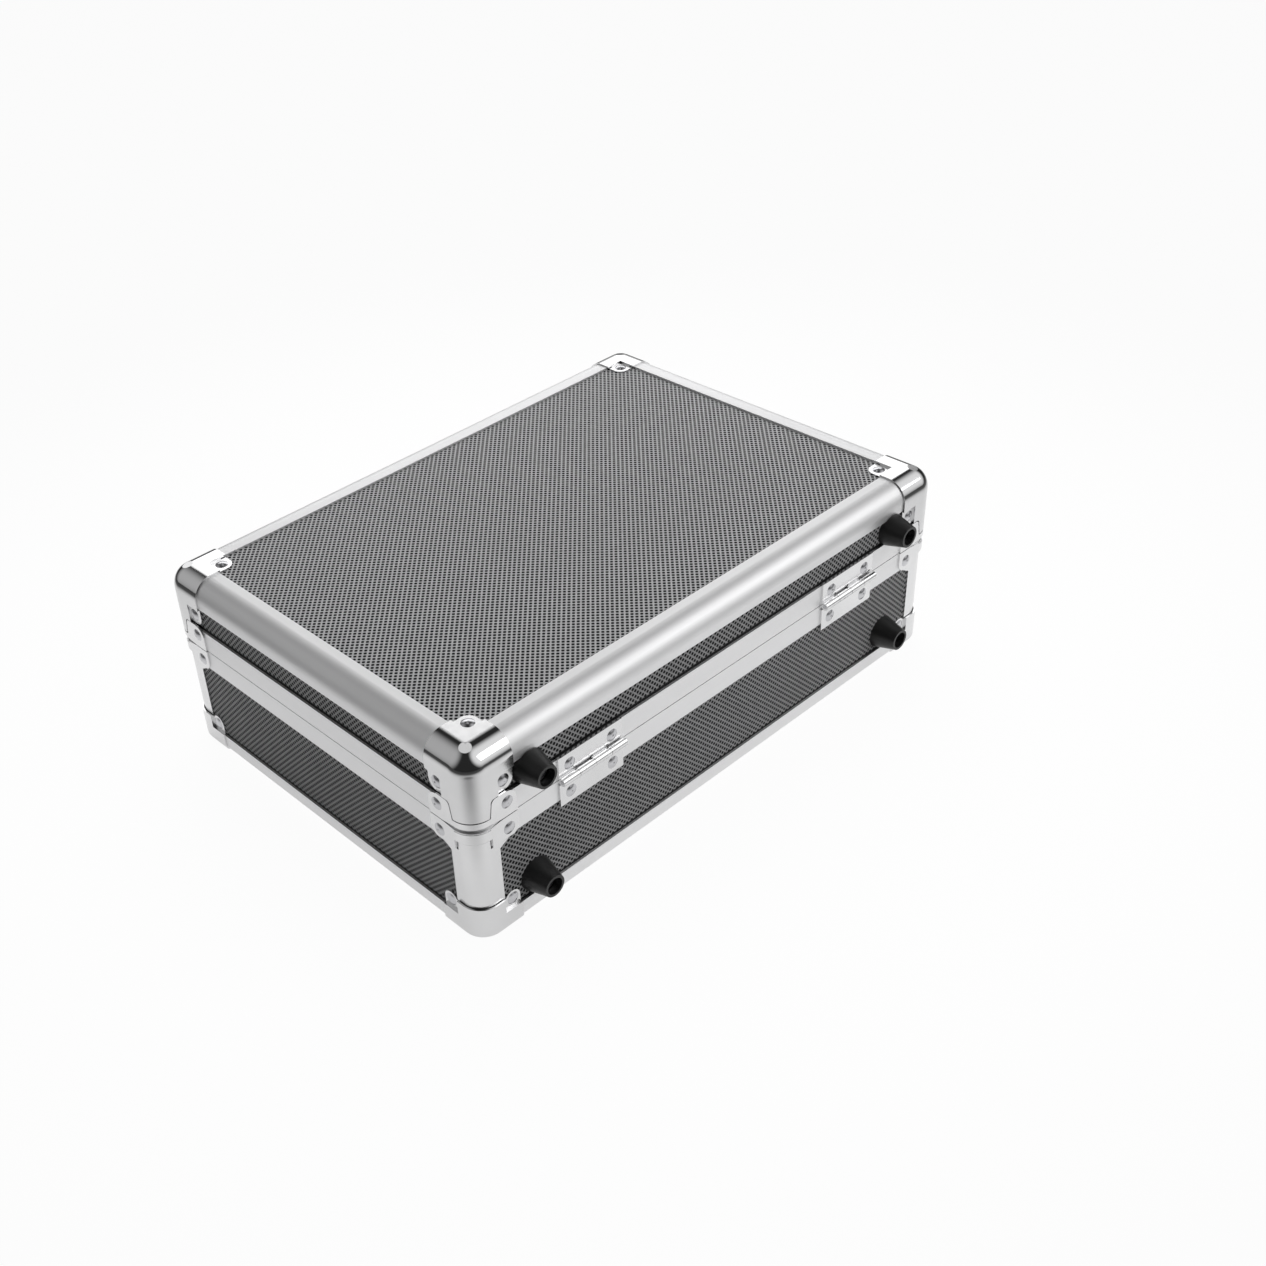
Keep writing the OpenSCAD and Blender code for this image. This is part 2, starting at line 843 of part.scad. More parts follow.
module base_post(sx, sy) {
    color("silver") at_body() difference() {
        at_corner(sx, sy) {
            turned(corner_r) difference() {
                post_section(post_step_z, base_rim_top - relief_h);
                post_groove(base_rim_top - relief_h);
            }
            both_faces() intersection() {
                on_face(0, skin) difference() {
                    post_outline();
                    box_at(corner_r, post_step_z - slit_l, corner_r + slit_w, post_step_z);
                }
                drawn(corner_r, rim_rivet_x + 2 * wing_r)
                    post_section(wing_step_z, base_rim_top);
            }
        }
        base_rivet_set(true);
    }
}

// Base corners

module base_corner_outline() {
    box_at(corner_r, base_edge_r, base_corner_w, base_corner_h);
    box_at(corner_r, base_edge_r, base_arm_l, base_ear_low + plate_t);
}

module base_ear_outline() {
    side_z = base_ear_low + base_ear_side_h;
    box_at(base_ear_in, base_ear_low, base_ear_x, side_z);
    box_at(base_ear_in, base_ear_low, base_ear_x + base_ear_r, base_ear_z);
    translate([base_ear_x, base_ear_z]) circle(base_ear_r);
}

module base_corners() {
    sheet_h = base_edge_r + plate_t;
    color("silver") at_body() difference() {
        for (c = corners) at_corner(c[0], c[1]) {
            turned(corner_r) sheet_edge(base_edge_r, 0, plate_t, corner_r, base_corner_h);
            both_faces() {
                drawn(corner_r, base_arm_l)
                    sheet_edge(base_edge_r, 0, plate_t, base_edge_w, sheet_h);
                on_face(0, plate_t) base_corner_outline();
                on_face(seat_in, plate_t) base_ear_outline();
                on_face(0, skin) box_at(base_ear_in, base_ear_low, base_corner_w,
                    base_ear_low + base_ear_side_h);
                on_face(0, skin) box_at(base_ear_in, base_ear_low,
                    base_ear_x + base_ear_r, base_ear_low + plate_t);
            }
        }
        base_rivet_set(true);
    }
}

// Linings

module lining(z0, z1) {
    difference() {
        translate([0, 0, z0]) linear_extrude(z1 - z0) inset_outline(lining_in, lining_r);
        translate([0, 0, z0 + lining_t]) linear_extrude(z1 - z0)
            inset_outline(lining_in + lining_t, lining_hollow_r);
    }
}

module base_lining() {
    color("darkgray") at_body() lining(lining_in, base_rim_top - wall_t - soft_gap);
}

module lid_lining() {
    low = part_z + tongue_h + wall_t;
    color("darkgray") at_body() translate([0, 0, case_h]) mirror([0, 0, 1])
        lining(lining_in, case_h - low);
}

// Hinges

module hinge_frame(s) {
    translate([s * hinge_x, 0, 0]) children();
}

module leaf_section(z0, z1) {
    translate([half_d - plate_t, z0]) square([leaf_t, z1 - z0]);
}

module along_x(x0, x1) {
    translate([x0, 0, 0]) rotate([90, 0, 90]) linear_extrude(x1 - x0) children();
}

// One knuckle with its neck, 0 to 3 from the left
module knuckle(i, up) {
    x0 = -hinge_w / 2 + i * hinge_w / 4;
    along_x(x0 + knuckle_gap, x0 + hinge_w / 4 - knuckle_gap) {
        translate([hinge_axis_y, part_z]) circle(knuckle_r);
        if (up) leaf_section(part_z, part_z + leaf_clear + edge_lap);
        else leaf_section(part_z - leaf_clear - edge_lap, part_z);
    }
}

// Round reliefs at the roots of the knuckles, above or below the parting
module knuckle_reliefs(z) {
    for (x = [-hinge_w / 4, 0, hinge_w / 4])
        translate([x, half_d - plate_t - overrun, z]) rotate([-90, 0, 0])
            cylinder(r = relief_r, h = leaf_t + overrun + knuckle_gap);
}

module pin_bore() {
    along_x(-hinge_w, hinge_w) translate([hinge_axis_y, part_z])
        circle(hinge_pin_r + run_fit);
}

module hinge_upper(s) {
    top = lid_rim_top + lip_t;
    color("silver") at_body() difference() {
        hinge_frame(s) difference() {
            union() {
                along_x(-hinge_w / 2, hinge_w / 2) {
                    leaf_section(part_z + leaf_clear, top);
                    translate([half_d - lip_in, lid_rim_top]) square([lip_in, lip_t]);
                }
                knuckle(1, true);
                knuckle(3, true);
            }
            pin_bore();
            knuckle_reliefs(part_z + leaf_clear);
        }
        lid_rivet_set(true);
    }
}

module hinge_lower(s) {
    color("silver") at_body() difference() {
        hinge_frame(s) difference() {
            union() {
                along_x(-hinge_w / 2, hinge_w / 2)
                    leaf_section(part_z - lower_leaf_h, part_z - leaf_clear);
                knuckle(0, false);
                knuckle(2, false);
            }
            pin_bore();
            knuckle_reliefs(part_z - leaf_clear);
        }
        base_rivet_set(true);
    }
}

module hinge_pins() {
    color("silver") at_body() for (s = [-1, 1]) hinge_frame(s)
        along_x(-hinge_w / 2, hinge_w / 2) translate([hinge_axis_y, part_z])
            circle(hinge_pin_r);
}

// Latches

module latch_frame(s) {
    at_front() translate([s * latch_x, 0, 0]) children();
}

// At the lever's pivot, turned to where the lever hangs undone
module lever_frame(s) {
    latch_frame(s) translate([0, -pivot_out, pivot_z]) rotate([-lever_rest, 0, 0]) children();
}

// At the hook's pin, where the undone lever has carried it
module hook_frame(s) {
    latch_frame(s) translate([
        0, -pivot_out - hook_throw * sin(lever_rest), pivot_z - hook_throw * cos(lever_rest)
    ]) children();
}

module latch_plate_outline() {
    top = part_z - latch_top_drop;
    step = base_rim_z - fit_gap;
    out = latch_plate_t;
    polygon([
        [-plate_in, top], [-plate_in, step], [-skin, step - wall_t],
        [-skin, latch_low_z], [out - skin, latch_low_z], [out - skin, step - wall_t - fit_gap],
        [out - plate_in, step - fit_gap], [out - plate_in, top]
    ]);
}

module latch_ear_outline() {
    polygon([
        [-plate_in, pivot_z + pivot_out], [pivot_out, pivot_z + pivot_r],
        [pivot_out, pivot_z - pivot_r], [-plate_in, pivot_z - pivot_out]
    ]);
    translate([pivot_out, pivot_z]) circle(pivot_r);
}

module pin_along_x(r, w) {
    rotate([0, 90, 0]) cylinder(r = r, h = w, center = true);
}

module latch_plate(s) {
    ear_x = lever_w / 2 + ear_gap + ear_t / 2;
    keep_z = pivot_z - plug_drop;
    color("silver") at_body() difference() {
        latch_frame(s) difference() {
            union() {
                across(latch_w) latch_plate_outline();
                left_and_right(ear_x) across(ear_t) latch_ear_outline();
                left_and_right(keep_out - keep_wall / 2) across(keep_wall)
                    box_at(-skin, keep_z - keep_h / 2, keep_reach, keep_z + keep_h / 2);
                left_and_right((keep_in + keep_out) / 2) across(keep_out - keep_in)
                    box_at(keep_reach - keep_wall, keep_z - keep_h / 2,
                        keep_reach, keep_z + keep_h / 2);
            }
            translate([0, -pivot_out, pivot_z]) pin_along_x(latch_pin_r + run_fit, latch_w);
        }
        base_rivet_set(true);
    }
}

module latch_pivot_pins() {
    pin_l = lever_t + ear_gap + ear_t;
    color("silver") at_body() for (s = [-1, 1]) latch_frame(s)
        translate([0, -pivot_out, pivot_z])
            left_and_right(lever_w / 2 - lever_t + pin_l / 2) pin_along_x(latch_pin_r, pin_l);
}

// The lever's side cheek, from its pivot down
module cheek_outline() {
    back = 1.8;
    circle(pivot_r);
    polygon([[-back, 0], [pivot_r, 0], [pivot_r, -lever_l], [0, -lever_l]]);
}

module lever_face_outline() {
    out = pivot_r;
    polygon([
        [out - lever_t, -face_start], [out, -face_start], [out, -lever_l + lever_t],
        [out + lip_rise, -lever_l - lip_l], [out + lip_rise - lever_t, -lever_l - lip_l],
        [out - lever_t, -lever_l]
    ]);
}

module latch_lever(s) {
    color("silver") at_body() lever_frame(s) difference() {
        union() {
            left_and_right((lever_w - lever_t) / 2) across(lever_t) cheek_outline();
            across(lever_w) lever_face_outline();
        }
        pin_along_x(latch_pin_r + run_fit, 2 * lever_w);
        translate([0, 0, -hook_throw]) pin_along_x(latch_pin_r + run_fit, 2 * lever_w);
        translate([0, 0, -plug_drop]) rotate([90, 0, 0])
            cylinder(r = plug_r + run_fit, h = lever_l);
    }
}

module hook_pin(s) {
    color("silver") at_body() lever_frame(s) translate([0, 0, -hook_throw])
        pin_along_x(latch_pin_r, lever_w);
}

module hook_outline() {
    circle(hook_eye_r);
    box_at(-hook_back, 0, hook_t - hook_back, hook_l);
    box_at(-claw_reach, hook_l - claw_t, hook_t - hook_back, hook_l);
}

module latch_hook(s) {
    color("silver") at_body() hook_frame(s) difference() {
        across(hook_w) hook_outline();
        pin_along_x(latch_pin_r + run_fit, lever_w);
    }
}

module lock_plug(s) {
    face_out = pivot_r;
    face_in = face_out - lever_t;
    cam_out = face_in - flange_t - plug_shaft_l;
    color("silver") at_body() lever_frame(s) translate([0, 0, -plug_drop])
        rotate([90, 0, 0]) difference() {
            union() {
                translate([0, 0, face_in - flange_t / 2])
                    cylinder(r = plug_r, h = lever_t + flange_t / 2 + plug_proud);
                translate([0, 0, face_in - flange_t]) cylinder(r = flange_r, h = flange_t);
                translate([0, 0, cam_out]) cylinder(r = plug_shaft_r, h = plug_shaft_l + flange_t);
                translate([-cam_w / 2, -cam_l, cam_out - cam_t])
                    cube([cam_w, 2 * cam_l, cam_t + flange_t / 2]);
            }
            translate([-key_w / 2, -key_l / 2, face_out + plug_proud - key_depth])
                cube([key_w, key_l, key_depth + overrun]);
        }
}

module keeper_outline() {
    box_at(-plate_in, keeper_z, latch_plate_t - plate_in, keeper_top);
}

// The lip that the hook's claw lies over
module keeper_lip_outline() {
    box_at(-plate_in, keeper_top - keeper_lip_t, keeper_lip_reach, keeper_top);
}

module latch_keeper(s) {
    color("silver") at_body() difference() {
        latch_frame(s) {
            across(keeper_w) keeper_outline();
            across(keeper_lip_w) keeper_lip_outline();
        }
        lid_rivet_set(true);
    }
}

// Handle

module handle_frame() {
    at_front() translate([0, -handle_out, handle_z]) children();
}

module bracket_cheek_outline() {
    top = part_z - bracket_drop;
    polygon([
        [-skin, top], [handle_out, handle_z + cheek_r], [handle_out, handle_z - cheek_r],
        [-skin, top - bracket_h + bracket_rivet_in]
    ]);
    translate([handle_out, handle_z]) circle(cheek_r);
}

module handle_bracket(s) {
    x = s * (handle_l - arm_w) / 2;
    top = part_z - bracket_drop;
    color("silver") at_body() difference() {
        at_front() translate([x, 0, 0]) difference() {
            union() {
                across(bracket_w) box_at(-skin, top - bracket_h, latch_plate_t - skin, top);
                left_and_right((arm_w + cheek_t) / 2 + cheek_gap) across(cheek_t)
                    bracket_cheek_outline();
            }
            translate([0, -handle_out, handle_z])
                pin_along_x(handle_pin_r + run_fit, 2 * bracket_w);
        }
        base_rivet_set(true);
    }
}

module handle_pins() {
    color("silver") at_body() handle_frame() left_and_right((handle_l - arm_w) / 2)
        pin_along_x(handle_pin_r, arm_w + 2 * (cheek_gap + cheek_t));
}

module handle_front_outline() {
    difference() {
        translate([0, (handle_z + eye_r + grip_z) / 2])
            round_rect(handle_l, handle_z + eye_r - grip_z, handle_round);
        box_at(-handle_l / 2 + arm_w, grip_top_z, handle_l / 2 - arm_w, handle_z + 2 * eye_r);
    }
    for (s = [-1, 1]) translate([s * (handle_l - arm_w) / 2, handle_z])
        square([arm_w, 2 * eye_r], center = true);
}

module handle_side_outline() {
    translate([handle_out, handle_z]) circle(eye_r);
    box_at(handle_out - arm_t / 2, grip_top_z - grip_r, handle_out + arm_t / 2, handle_z);
    translate([grip_gap + grip_t / 2, grip_z + grip_h / 2]) round_rect(grip_t, grip_h, grip_r);
}

module handle() {
    color("black") at_body() at_front() difference() {
        intersection() {
            translate([0, -front_reach - overrun, 0])
                on_face(0, front_reach + 2 * overrun) handle_front_outline();
            across(handle_l + overrun) handle_side_outline();
        }
        translate([0, -handle_out, handle_z]) pin_along_x(handle_pin_r + run_fit, 2 * handle_l);
    }
}

base_floor();
base_panel(2);  // base_panel_front
base_panel(0);  // base_panel_back
base_panel(1);  // base_panel_left
base_panel(3);  // base_panel_right
base_edge();
base_rim();
base_post(-1, -1);  // base_post_front_left
base_post(1, -1);  // base_post_front_right
base_post(-1, 1);  // base_post_back_left
base_post(1, 1);  // base_post_back_right
base_corners();
base_rivets();
base_foot(-1);  // base_foot_left
base_foot(1);  // base_foot_right
base_foot_screws();
hinge_lower(-1);  // hinge_lower_left
hinge_lower(1);  // hinge_lower_right
hinge_pins();
latch_plate(-1);  // latch_plate_left
latch_plate(1);  // latch_plate_right
latch_pivot_pins();
handle_bracket(-1);  // handle_bracket_left
handle_bracket(1);  // handle_bracket_right
handle_pins();
base_lining();
handle();
latch_lever(-1);  // latch_lever_left
latch_lever(1);  // latch_lever_right
hook_pin(-1);  // hook_pin_left
hook_pin(1);  // hook_pin_right
latch_hook(-1);  // latch_hook_left
latch_hook(1);  // latch_hook_right
lock_plug(-1);  // lock_plug_left
lock_plug(1);  // lock_plug_right
lid_top();
lid_panel(2);  // lid_panel_front
lid_panel(0);  // lid_panel_back
lid_panel(1);  // lid_panel_left
lid_panel(3);  // lid_panel_right
lid_edge(2);  // lid_edge_front
lid_edge(0);  // lid_edge_back
lid_edge(1);  // lid_edge_left
lid_edge(3);  // lid_edge_right
lid_corner(-1, -1);  // lid_corner_front_left
lid_corner(1, -1);  // lid_corner_front_right
lid_corner(-1, 1);  // lid_corner_back_left
lid_corner(1, 1);  // lid_corner_back_right
lid_rim();
lid_rim_corners();
lid_rivets();
lid_foot(-1);  // lid_foot_left
lid_foot(1);  // lid_foot_right
lid_foot_screws();
hinge_upper(-1);  // hinge_upper_left
hinge_upper(1);  // hinge_upper_right
latch_keeper(-1);  // latch_keeper_left
latch_keeper(1);  // latch_keeper_right
lid_lining();
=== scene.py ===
"""Looks of the aluminium tool case: finishes for its sheet, profiles, plated fittings and rubber,
the padded lining inside it, and the plain studio round it."""

import math

import bmesh
import bpy
from mathutils import Matrix, Vector


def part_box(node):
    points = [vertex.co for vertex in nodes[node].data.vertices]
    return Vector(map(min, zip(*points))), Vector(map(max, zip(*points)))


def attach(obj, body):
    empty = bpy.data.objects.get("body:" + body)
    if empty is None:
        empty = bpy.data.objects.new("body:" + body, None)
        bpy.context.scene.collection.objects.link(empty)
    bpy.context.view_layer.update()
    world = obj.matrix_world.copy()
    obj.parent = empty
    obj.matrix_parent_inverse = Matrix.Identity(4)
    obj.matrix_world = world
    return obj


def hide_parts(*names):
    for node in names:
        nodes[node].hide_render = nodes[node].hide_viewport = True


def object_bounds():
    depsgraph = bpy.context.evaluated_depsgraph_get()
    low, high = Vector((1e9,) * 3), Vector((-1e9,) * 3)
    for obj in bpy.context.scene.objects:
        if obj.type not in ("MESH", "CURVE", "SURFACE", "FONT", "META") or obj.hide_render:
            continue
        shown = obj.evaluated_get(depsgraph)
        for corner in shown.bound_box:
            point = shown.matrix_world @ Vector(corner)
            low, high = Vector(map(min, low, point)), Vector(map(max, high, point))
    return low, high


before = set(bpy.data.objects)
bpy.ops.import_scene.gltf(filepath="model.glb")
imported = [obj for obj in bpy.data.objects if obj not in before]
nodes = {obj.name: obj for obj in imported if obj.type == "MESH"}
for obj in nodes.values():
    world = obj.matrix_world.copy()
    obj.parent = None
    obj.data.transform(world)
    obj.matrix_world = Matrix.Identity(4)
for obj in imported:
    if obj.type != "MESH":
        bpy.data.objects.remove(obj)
cad_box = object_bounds()

MM = 0.001

# The case's planes, read from its corners (metres)
CASE_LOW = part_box("base_corners")[0]
CASE_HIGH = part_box("lid_corner_back_right")[1]
CORNER_R = 11 * MM
LID_RIM_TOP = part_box("lid_rim")[1].z
BASE_EDGE_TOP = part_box("base_edge")[1].z

# Textured sheet (millimetres; the share is the dimple's half width over the pitch)
DIMPLE_PITCH = 2.2
DIMPLE_SHARE = 0.33
DIMPLE_SOFT = 0.05
DIMPLE_SQUARE = 3.0
DIMPLE_DEPTH = 0.5
# Painted shade: the dimples' recesses are coloured near-black
DIMPLE_PAINTED_SHADE = (0.004, 0.004, 0.0045)
DIMPLE_ROUGH = 0.7
RIDGE_SHADE = (0.35, 0.35, 0.355)
RIDGE_UNEVEN = 0.2
RIDGE_ROUGH = 0.42

# Painted shadow in the gaps above the lid's rim and the base's edge (millimetres)
LID_GAP_SHADOW = 1.7
BASE_GAP_SHADOW = 1.1
GAP_SHADOW_SOFT = 0.2
GAP_SHADOW_BELOW = 1.0

# Where the lid corners' polish ends, inward of their rounding (millimetres)
POLISH_FULL = 0.9
POLISH_END = 0.3

# Fine grain: scales in waves to the millimetre, depths in millimetres
MOST_OF_NOISE = (0.3, 0.7)
LINES_ALONG = 0.01
LINES_ACROSS = 6.0
LINES_DEPTH = 0.004
MARKS_STRETCH = (0.25, 0.25, 2.5)
MARKS_SPREAD = 0.03
MARKS_DEPTH = 0.004
SKIN_SPREAD = 0.05
SKIN_DEPTH = 0.05
PILE_SCALE = 2.2
PILE_DEPTH = 0.25

# Lining (metres)
PAD_T = 2.9 * MM
PAD_ROUND = 1.2 * MM
PAD_CROWN = 0.5 * MM
CROWN_POWER = 4
PAD_GAP = 0.15 * MM
PAD_STEPS = (28, 14)
ROUND_STEPS = (0, 0.2, 0.45, 0.75, 1.0)


# Finishes

class Wiring:
    """Short calls that add the nodes of one tree and wire them."""

    def __init__(self, tree):
        self.tree = tree

    def add(self, kind, inputs=None, **settings):
        """A node of that kind; each input is a number, a colour or another node's output."""
        made = self.tree.nodes.new(kind)
        for key, value in settings.items():
            setattr(made, key, value)
        for key, value in (inputs or {}).items():
            self.set(made.inputs[key], value)
        return made

    def set(self, socket, value):
        """Wires an output to the socket, or gives it a number or colour."""
        if isinstance(value, bpy.types.NodeSocket):
            self.tree.links.new(value, socket)
        elif socket.type == "RGBA":
            socket.default_value = (*value, 1)
        else:
            socket.default_value = value

    def maths(self, operation, *values):
        """One step of arithmetic on numbers or outputs."""
        return self.add("ShaderNodeMath", dict(enumerate(values)), operation=operation).outputs[0]

    def ramp(self, value, low, high, to_low=0.0, to_high=1.0):
        """The value taken smoothly from one range to another."""
        picked = {"Value": value, "From Min": low, "From Max": high,
                  "To Min": to_low, "To Max": to_high}
        return self.add("ShaderNodeMapRange", picked,
                        interpolation_type="SMOOTHSTEP").outputs["Result"]

    def place(self):
        """Object coordinates in millimetres."""
        where = self.add("ShaderNodeTexCoord").outputs["Object"]
        return self.add("ShaderNodeVectorMath", {0: where, "Scale": 1 / MM},
                        operation="SCALE").outputs[0]

    def axes(self, vector):
        """The vector's three numbers."""
        return self.add("ShaderNodeSeparateXYZ", {0: vector}).outputs

    def grain(self, vector, scale, detail=2.0, rough=0.5):
        """Noise from 0 to 1, its scale in waves to the millimetre."""
        picked = {"Vector": vector, "Scale": scale, "Detail": detail, "Roughness": rough}
        return self.add("ShaderNodeTexNoise", picked).outputs["Fac"]

    def stretch(self, vector, x, y, z):
        """Each axis of the vector multiplied by its own number."""
        return self.add("ShaderNodeVectorMath", {0: vector, 1: (x, y, z)},
                        operation="MULTIPLY").outputs[0]

    def blend(self, share, dark, light, how="MIX"):
        """Two colours mixed by a share from 0 to 1."""
        made = self.add("ShaderNodeMix", data_type="RGBA", blend_type=how)
        for index, value in ((0, share), (6, dark), (7, light)):
            self.set(made.inputs[index], value)
        return made.outputs[2]


class Finish(Wiring):
    """A material, its nodes and its shader."""

    def __init__(self, name):
        self.material = bpy.data.materials.new(name)
        self.material.use_nodes = True
        super().__init__(self.material.node_tree)
        self.shader = self.tree.nodes["Principled BSDF"]

    def bump(self, height, depth, strength=1.0):
        """Relief from a height between 0 and 1; the depth is in millimetres."""
        picked = {"Height": height, "Distance": depth * MM, "Strength": strength}
        self.set(self.shader.inputs["Normal"], self.add("ShaderNodeBump", picked).outputs[0])

    def surface(self, **sockets):
        """Sets the shader's own sockets; spaces in their names are written as underscores."""
        for key, value in sockets.items():
            self.set(self.shader.inputs[key.replace("_", " ")], value)


def toned(shade, amount):
    """The shade made lighter or darker."""
    return [amount * c for c in shade]


def textured_sheet(name, across, up):
    """Dark sheet embossed with a diamond lattice of dimples, in the plane of two axes; shade is
    painted into the dimples as near-black.
    """
    finish = Finish(name)
    place = finish.place()
    axis = finish.axes(place)
    to_lattice = 1 / (math.sqrt(2) * DIMPLE_PITCH)
    rows = []
    for operation in ("ADD", "SUBTRACT"):
        along = finish.maths(operation, axis[across], axis[up])
        cell = finish.maths("PINGPONG", finish.maths("MULTIPLY", along, to_lattice), 0.5)
        rows.append(finish.maths("POWER", cell, DIMPLE_SQUARE))
    off_centre = finish.maths("POWER", finish.maths("ADD", *rows), 1 / DIMPLE_SQUARE)
    ridge = finish.ramp(off_centre, DIMPLE_SHARE - DIMPLE_SOFT, DIMPLE_SHARE + DIMPLE_SOFT)
    # Painted shadow: the side panels go near-black in the gaps above the lid's rim and the base's
    # edge
    if up == 2:
        ridge = finish.maths("MULTIPLY", ridge, painted_gap_shadow(finish, axis[up]))
    uneven = finish.grain(place, 0.35, 3.0)
    light = finish.blend(uneven, toned(RIDGE_SHADE, 1 - RIDGE_UNEVEN),
                         toned(RIDGE_SHADE, 1 + RIDGE_UNEVEN))
    # Painted shade: near-black in the dimples, the sheet's uneven tone on the ridges
    shade = finish.blend(ridge, DIMPLE_PAINTED_SHADE, light)
    finish.surface(Base_Color=shade, Metallic=0.0, Specular_IOR_Level=0.2,
                   Roughness=finish.ramp(ridge, 0.0, 1.0, DIMPLE_ROUGH, RIDGE_ROUGH))
    finish.bump(ridge, DIMPLE_DEPTH)
    return finish.material


def painted_gap_shadow(finish, height):
    """0 in the painted shadow along the gaps above the tops of the lid's rim and the base's edge,
    1 elsewhere.
    """
    clear = []
    for top, width in ((LID_RIM_TOP, LID_GAP_SHADOW), (BASE_EDGE_TOP, BASE_GAP_SHADOW)):
        over = finish.maths("SUBTRACT", height, top / MM)
        above = finish.ramp(over, (1 - GAP_SHADOW_SOFT) * width, (1 + GAP_SHADOW_SOFT) * width)
        below = finish.maths("LESS_THAN", over, -GAP_SHADOW_BELOW)
        clear.append(finish.maths("MAXIMUM", above, below))
    return finish.maths("MULTIPLY", *clear)


def anodised(name, along):
    """Satin anodised profile with fine drawing lines along its length."""
    finish = Finish(name)
    place = finish.place()
    scale = [LINES_ALONG if axis == along else LINES_ACROSS for axis in "xyz"]
    lines = finish.grain(finish.stretch(place, *scale), 1.0, 3.0, 0.6)
    cloud = finish.grain(place, 0.02, 2.0)
    shade = finish.blend(cloud, (0.88, 0.88, 0.885), (0.93, 0.93, 0.935))
    rough = finish.ramp(lines, *MOST_OF_NOISE, 0.50, 0.58)
    finish.surface(Base_Color=shade, Metallic=1.0, Roughness=rough)
    finish.bump(lines, LINES_DEPTH, 0.6)
    return finish.material


def plated(name, shade, rough, bright=None):
    """Nickel plated sheet steel with faint rubbing marks; the rounded top edge may be polished."""
    finish = Finish(name)
    place = finish.place()
    marks = finish.grain(finish.stretch(place, *MARKS_STRETCH), 1.0, 4.0, 0.6)
    cloud = finish.grain(place, 0.06, 2.0)
    dull = finish.ramp(marks, 0.35, 0.65, rough - MARKS_SPREAD, rough + MARKS_SPREAD)
    if bright is not None:
        dull = finish.add("ShaderNodeMix", {"Factor": polished_edge(finish, place),
                                            "A": dull, "B": bright}).outputs[0]
    cloudy = finish.blend(cloud, toned(shade, 0.94), toned(shade, 1.04))
    finish.surface(Base_Color=cloudy, Metallic=1.0, Roughness=dull)
    finish.bump(marks, MARKS_DEPTH, 0.10)
    return finish.material


def polished_edge(finish, place):
    """1 on the lid corners' rounded top edges, 0 on their flats and skirts."""
    axis = finish.axes(place)
    middle = (CASE_HIGH + CASE_LOW) / 2
    half = (CASE_HIGH - CASE_LOW) / 2
    inward = []
    for i in (0, 1):
        off = finish.maths("ABSOLUTE", finish.maths("SUBTRACT", axis[i], middle[i] / MM))
        inward.append(finish.maths("SUBTRACT", half[i] / MM, off))
    nearest = finish.maths("MINIMUM", *inward)
    down = finish.maths("SUBTRACT", CASE_HIGH.z / MM, axis[2])
    full, end = CORNER_R / MM - POLISH_FULL, CORNER_R / MM - POLISH_END
    return finish.maths("MULTIPLY", finish.ramp(nearest, full, end, 1.0, 0.0),
                        finish.ramp(down, full, end, 1.0, 0.0))


def rubber(name, shade, rough, grain_size):
    """Black moulded rubber or plastic with a fine grain."""
    finish = Finish(name)
    place = finish.place()
    skin = finish.grain(place, grain_size, 3.0)
    dust = finish.grain(place, 0.3, 3.0)
    dull = finish.ramp(skin, *MOST_OF_NOISE, rough - SKIN_SPREAD, rough + SKIN_SPREAD)
    finish.surface(Base_Color=finish.blend(dust, shade, toned(shade, 1.5)), Roughness=dull)
    finish.bump(skin, SKIN_DEPTH, 0.5)
    return finish.material


def pile_cloth(name):
    """Short dark pile over foam."""
    finish = Finish(name)
    place = finish.place()
    pile = finish.grain(place, PILE_SCALE, 4.0, 0.7)
    brushed = finish.grain(place, 0.04, 3.0)
    fibre = finish.blend(pile, (0.018, 0.018, 0.020), (0.075, 0.075, 0.080))
    shade = finish.blend(brushed, (0.75, 0.75, 0.75), (1.0, 1.0, 1.0))
    finish.surface(Base_Color=finish.blend(1.0, fibre, shade, how="MULTIPLY"),
                   Roughness=0.95, Sheen_Weight=0.35, Sheen_Roughness=0.5)
    finish.bump(pile, PILE_DEPTH, 0.7)
    return finish.material


def dress(finish, *names):
    """Gives the nodes that finish in every material slot."""
    for name in names:
        mesh = nodes[name].data
        for i in range(len(mesh.materials)):
            mesh.materials[i] = finish


def sided(stem, *sides):
    """The names of one piece's copies."""
    return [f"{stem}_{side}" for side in sides]


NICKEL = (0.80, 0.80, 0.805)
SATIN = (0.74, 0.74, 0.745)
STEEL = (0.62, 0.62, 0.64)

ENDS = ("front", "back")
SIDES = ("left", "right")
CORNERS = ("front_left", "front_right", "back_left", "back_right")

flat_sheet = textured_sheet("textured_sheet_flat", 0, 1)
end_sheet = textured_sheet("textured_sheet_end", 0, 2)
side_sheet = textured_sheet("textured_sheet_side", 1, 2)
long_profile = anodised("anodised_long", "x")
short_profile = anodised("anodised_short", "y")
plating = plated("nickel_plating", NICKEL, 0.22)
corner_plating = plated("corner_plating", SATIN, 0.24, bright=0.09)
rivet_plating = plated("rivet_plating", STEEL, 0.24)
screw_steel = plated("screw_steel", STEEL, 0.32)
foot_rubber = rubber("foot_rubber", (0.010, 0.010, 0.010), 0.38, 1.5)
handle_plastic = rubber("handle_plastic", (0.018, 0.018, 0.019), 0.42, 2.5)
lining_cloth = pile_cloth("lining_cloth")

